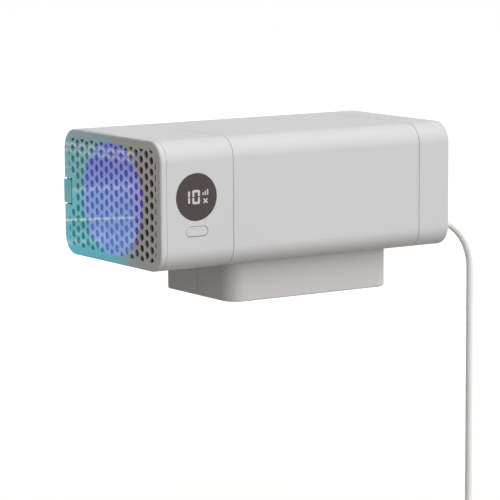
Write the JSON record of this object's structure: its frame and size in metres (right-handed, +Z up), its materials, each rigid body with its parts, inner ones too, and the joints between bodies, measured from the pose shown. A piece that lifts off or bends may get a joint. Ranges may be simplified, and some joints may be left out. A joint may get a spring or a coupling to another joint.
{
  "type": "toothbrush sterilizer",
  "caption": "Wall-hung box that dries and disinfects brush heads, with a lit fan grille on one end, a round display, a button, a holder underneath and a hanging USB cord.",
  "frame": {"origin": "on the wall, at the middle of the wall plate's adhesive face", "axes": "+Y into the wall, +Z up, +X along the body from the fan grille to the cord end"},
  "size_m": [0.2219, 0.0917, 0.3116],
  "materials": {
    "white_shell": "fine satin moulded ABS",
    "grille_plastic": "satin moulded ABS, lit from behind",
    "tab_plastic": "satin moulded ABS",
    "holder_plastic": "fine satin moulded ABS",
    "inner_plastic": "plain moulded ABS",
    "dark_plastic": "moulded nylon",
    "clear_plastic": "clear polycarbonate",
    "quartz": "clear UV-passing glass",
    "smoked_lens": "smoked gloss acrylic",
    "lit_digits": "backlit printed diffuser",
    "board_green": "solder-masked glass epoxy",
    "chip_black": "moulded epoxy",
    "led_white": "moulded LED package",
    "steel": "zinc-plated steel",
    "nickel": "nickel-plated steel",
    "magnet": "nickel-plated sintered magnet",
    "bronze": "sintered bronze",
    "liner_metal": "bright anodised sheet",
    "filter_foam": "open-cell foam",
    "silicone": "soft moulded silicone",
    "rubber": "moulded rubber",
    "white_rubber": "flexible PVC",
    "foam_tape": "foam mounting tape",
    "cord_white": "smooth PVC jacket",
    "wire_black": "PVC-jacketed lead"
  },
  "bodies": {
    "wall_mount": {"wall_plate": "white_shell", "adhesive_pad": "foam_tape"},
    "housing": {"left_housing": "white_shell", "middle_housing": "white_shell", "right_cap": "white_shell", "left_bulkhead": "inner_plastic", "right_bulkhead": "inner_plastic", "housing_screws": "steel", "fan_shroud": "dark_plastic", "fan_bearing": "bronze", "fan_stator": "steel", "fan_screws": "steel", "light_guide": "clear_plastic", "light_board": "board_green", "light_leds": "led_white", "display_lens": "smoked_lens", "display_digits": "lit_digits", "display_module": "dark_plastic", "switch_body": "chip_black", "control_board": "board_green", "control_chips": "chip_black", "board_screws": "steel", "power_board": "board_green", "power_parts": "chip_black", "strain_relief": "white_rubber", "chamber_liner": "liner_metal", "chamber_gasket": "silicone", "uv_board": "board_green", "uv_leds": "led_white", "uv_window_frame": "inner_plastic", "uv_window": "quartz", "tray_rails": "inner_plastic", "holder_base": "holder_plastic", "base_magnets": "magnet", "lower_uv_board": "board_green", "base_screws": "steel", "rear_bumpers": "rubber", "power_lead": "wire_black", "fan_lead": "wire_black", "uv_leads": "wire_black", "cord_run": "cord_white", "cord_coil": "cord_white", "cord_tail": "cord_white", "cord_tie": "rubber", "plug_body": "white_rubber", "plug_shell": "nickel"},
    "cover": {"end_grille": "grille_plastic", "dust_filter": "filter_foam", "tab_pin": "steel"},
    "tab": {"pull_tab": "tab_plastic"},
    "rotor": {"fan_rotor": "dark_plastic", "fan_shaft": "steel", "rotor_magnet": "magnet"},
    "button": {"button_cap": "white_shell", "switch_plunger": "chip_black"},
    "tray": {"holder_tray": "holder_plastic", "toothbrush_grip": "silicone", "razor_grip": "silicone", "tray_magnets": "magnet"}
  },
  "joints": [
    {"name": "unit_lift", "type": "slide", "parent": "wall_mount", "child": "housing", "axis": [0, 0, 1], "range_m": [0, 0.006]},
    {"name": "cover_pull", "type": "slide", "parent": "housing", "child": "cover", "axis": [-1, 0, 0], "range_m": [0, 0.014]},
    {"name": "tab_swing", "type": "hinge", "parent": "cover", "child": "tab", "pos_m": [-0.08075, -0.0058, 0], "axis": [0, 0, -1], "range_deg": [0, 40]},
    {"name": "fan_spin", "type": "hinge", "parent": "housing", "child": "rotor", "pos_m": [-0.06, -0.04785, 0], "axis": [1, 0, 0], "continuous": true},
    {"name": "button_press", "type": "slide", "parent": "housing", "child": "button", "axis": [0, 1, 0], "range_m": [0, 0.0005], "stiffness_N_per_m": 800, "springref_m": -0.0005},
    {"name": "tray_slide", "type": "slide", "parent": "housing", "child": "tray", "axis": [0, -1, 0], "range_m": [0, 0.022]}
  ]
}
